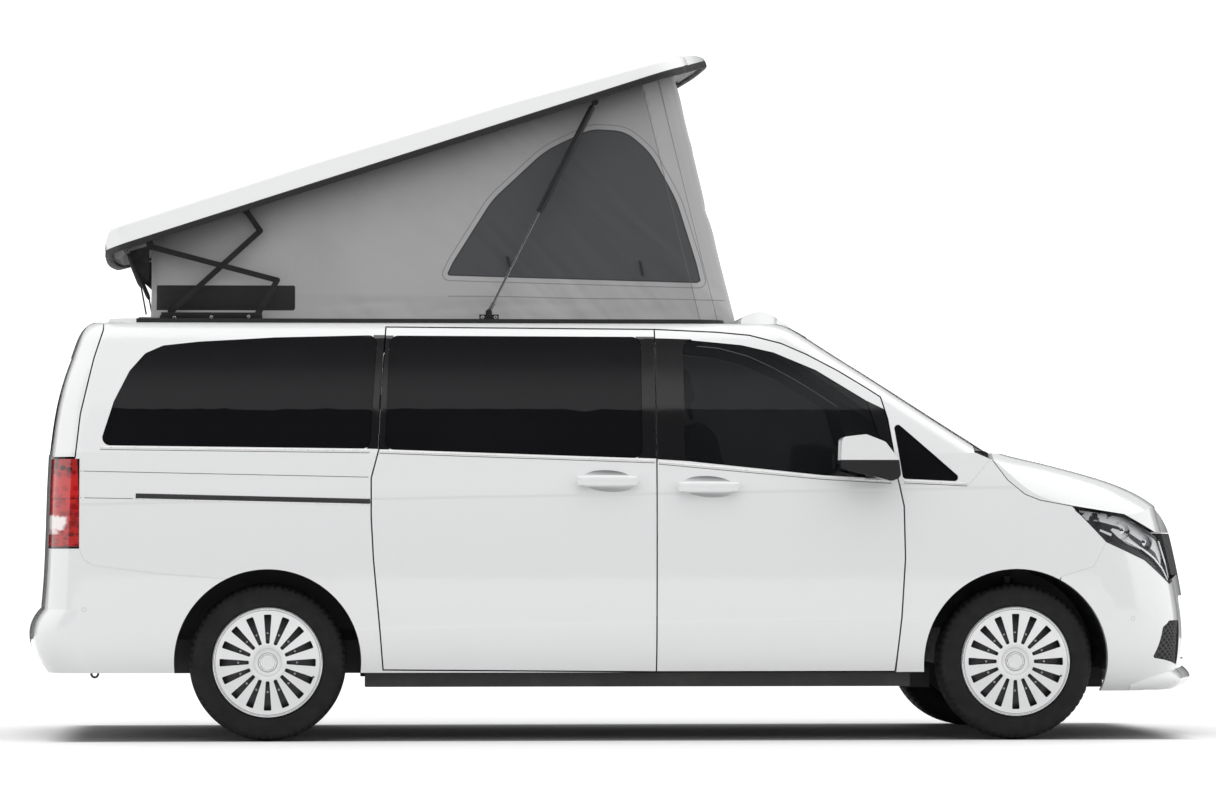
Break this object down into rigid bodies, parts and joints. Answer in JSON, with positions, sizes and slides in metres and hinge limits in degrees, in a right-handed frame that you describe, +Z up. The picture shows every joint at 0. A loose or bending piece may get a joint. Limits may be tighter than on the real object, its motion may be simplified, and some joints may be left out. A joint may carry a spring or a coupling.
{
  "type": "camper van",
  "caption": "Mid-size camper van with a raised fabric-sided sleeping roof on scissor arms, hinged front doors, bonnet and tailgate, steered front wheels and free-turning wheels.",
  "frame": {"origin": "on the ground, under the middle of the van's length and width", "axes": "+X to the front, +Y to the van's left side, +Z up"},
  "size_m": [5.1409, 2.248, 2.9856],
  "materials": {
    "white_paint": "gloss white paint",
    "white_bumper": "painted plastic, gloss white",
    "roof_shell_white": "gelcoat white",
    "mirror_shell": "gloss white over black plastic",
    "black_plastic": "grained black",
    "black_underside": "matt underseal",
    "dark_glass": "tinted",
    "screen_glass": "clear, green-grey",
    "lamp_clear": "clear cover",
    "lamp_red": "red lens",
    "dark_steel": "satin black",
    "black_steel": "satin black",
    "bright_steel": "bright",
    "engine_iron": "raw",
    "seat_cloth": "woven, dark grey",
    "grey_canvas": "woven canvas, mid grey",
    "black_rubber": "matt",
    "tyre_black": "matt",
    "wheel_silver": "silver lacquer"
  },
  "bodies": {
    "van_body": {"body_side_right": "white_paint", "body_side_left": "white_paint", "roof_frame": "white_paint", "floor_pan": "black_underside", "bulkhead": "black_plastic", "front_fenders": "white_paint", "front_bumper": "white_bumper", "grille": "black_plastic", "rear_bumper": "white_bumper", "windscreen": "screen_glass", "side_glass": "dark_glass", "sliding_doors": "white_paint", "headlamps": "lamp_clear", "tail_lamps": "lamp_red", "roof_rail": "black_rubber", "roof_fairing": "roof_shell_white", "tent": "grey_canvas", "roof_brackets": "black_steel", "rear_axle": "dark_steel", "front_axle": "dark_steel", "tow_eye": "dark_steel", "seats": "seat_cloth", "dashboard": "black_plastic", "engine_block": "engine_iron"},
    "pop_top_roof": {"pop_top": "roof_shell_white", "pop_top_seal": "black_rubber"},
    "arms_a": {"scissor_arms_a": "black_steel"},
    "arms_b": {"scissor_arms_b": "black_steel"},
    "links_a": {"scissor_links_a": "black_steel"},
    "links_b": {"scissor_links_b": "black_steel"},
    "gas_tubes": {"strut_tubes": "black_steel"},
    "gas_rods": {"strut_rods": "bright_steel"},
    "door_right_leaf": {"door_right": "white_paint", "door_glass_right": "dark_glass", "mirror_right": "mirror_shell"},
    "door_left_leaf": {"door_left": "white_paint", "door_glass_left": "dark_glass", "mirror_left": "mirror_shell"},
    "bonnet_lid": {"bonnet": "white_paint"},
    "tailgate_lid": {"tailgate": "white_paint", "tailgate_glass": "dark_glass"},
    "steer_right_body": {"knuckle_right": "dark_steel"},
    "steer_left_body": {"knuckle_left": "dark_steel"},
    "wheel_front_right_body": {"wheel_front_right": "wheel_silver", "tyre_front_right": "tyre_black"},
    "wheel_front_left_body": {"wheel_front_left": "wheel_silver", "tyre_front_left": "tyre_black"},
    "wheel_rear_right_body": {"wheel_rear_right": "wheel_silver", "tyre_rear_right": "tyre_black"},
    "wheel_rear_left_body": {"wheel_rear_left": "wheel_silver", "tyre_rear_left": "tyre_black"}
  },
  "joints": [
    {"name": "pop_top_lift", "type": "hinge", "parent": "van_body", "child": "pop_top_roof", "pos_m": [-3.0517, 0, 1.7396], "axis": [0, 1, 0], "range_deg": [0, 17.3], "deforming": ["tent"]},
    {"name": "scissor_arm_a", "type": "hinge", "parent": "van_body", "child": "arms_a", "pos_m": [-1.944, 0, 1.8375], "axis": [0, 1, 0], "range_deg": [0, 46.84]},
    {"name": "scissor_link_b", "type": "hinge", "parent": "van_body", "child": "links_b", "pos_m": [-1.568, 0, 1.8318], "axis": [0, 1, 0], "range_deg": [0, 61.2]},
    {"name": "scissor_arm_b", "type": "hinge", "parent": "pop_top_roof", "child": "arms_b", "pos_m": [-2.032, 0, 2.1165], "axis": [0, 1, 0], "range_deg": [-35.47, 0]},
    {"name": "scissor_link_a", "type": "hinge", "parent": "pop_top_roof", "child": "links_a", "pos_m": [-1.6217, 0, 2.2727], "axis": [0, 1, 0], "range_deg": [-58.46, 0]},
    {"name": "gas_strut_swing", "type": "hinge", "parent": "pop_top_roof", "child": "gas_tubes", "pos_m": [-0.118, 0, 2.749], "axis": [0, 1, 0], "range_deg": [0, 46.49]},
    {"name": "gas_strut_slide", "type": "slide", "parent": "gas_tubes", "child": "gas_rods", "axis": [-0.4492, 0, -0.8934], "range_m": [-0.3959, 0]},
    {"name": "door_right_hinge", "type": "hinge", "parent": "van_body", "child": "door_right_leaf", "pos_m": [1.202, -0.97, 0.9], "axis": [0, 0, 1], "range_deg": [0, 65]},
    {"name": "door_left_hinge", "type": "hinge", "parent": "van_body", "child": "door_left_leaf", "pos_m": [1.202, 0.97, 0.9], "axis": [0, 0, -1], "range_deg": [0, 65]},
    {"name": "bonnet_hinge", "type": "hinge", "parent": "van_body", "child": "bonnet_lid", "pos_m": [1.558, 0, 1.216], "axis": [0, -1, 0], "range_deg": [0, 55]},
    {"name": "tailgate_hinge", "type": "hinge", "parent": "van_body", "child": "tailgate_lid", "pos_m": [-2.232, 0, 1.792], "axis": [0, 1, 0], "range_deg": [0, 85]},
    {"name": "steer_left", "type": "hinge", "parent": "van_body", "child": "steer_left_body", "pos_m": [1.675, 0.73, 0.334], "axis": [0, 0, 1], "range_deg": [-35, 35]},
    {"name": "steer_right", "type": "hinge", "parent": "van_body", "child": "steer_right_body", "pos_m": [1.675, -0.73, 0.334], "axis": [0, 0, 1], "range_deg": [-35, 35]},
    {"name": "spin_front_left", "type": "hinge", "parent": "steer_left_body", "child": "wheel_front_left_body", "pos_m": [1.675, 0.8175, 0.334], "axis": [0, 1, 0], "continuous": true},
    {"name": "spin_front_right", "type": "hinge", "parent": "steer_right_body", "child": "wheel_front_right_body", "pos_m": [1.675, -0.8175, 0.334], "axis": [0, 1, 0], "continuous": true},
    {"name": "spin_rear_left", "type": "hinge", "parent": "van_body", "child": "wheel_rear_left_body", "pos_m": [-1.525, 0.8175, 0.334], "axis": [0, 1, 0], "continuous": true},
    {"name": "spin_rear_right", "type": "hinge", "parent": "van_body", "child": "wheel_rear_right_body", "pos_m": [-1.525, -0.8175, 0.334], "axis": [0, 1, 0], "continuous": true}
  ],
  "couplings": [
    {"joint": "scissor_arm_a", "follows": "pop_top_lift", "ratio": 2.7064},
    {"joint": "scissor_link_b", "follows": "pop_top_lift", "ratio": 3.5366},
    {"joint": "scissor_arm_b", "follows": "pop_top_lift", "ratio": -2.049},
    {"joint": "scissor_link_a", "follows": "pop_top_lift", "ratio": -3.3778},
    {"joint": "gas_strut_swing", "follows": "pop_top_lift", "ratio": 2.6863},
    {"joint": "gas_strut_slide", "follows": "pop_top_lift", "m_per_rad": -1.3096},
    {"joint": "steer_right", "follows": "steer_left", "ratio": 1}
  ]
}
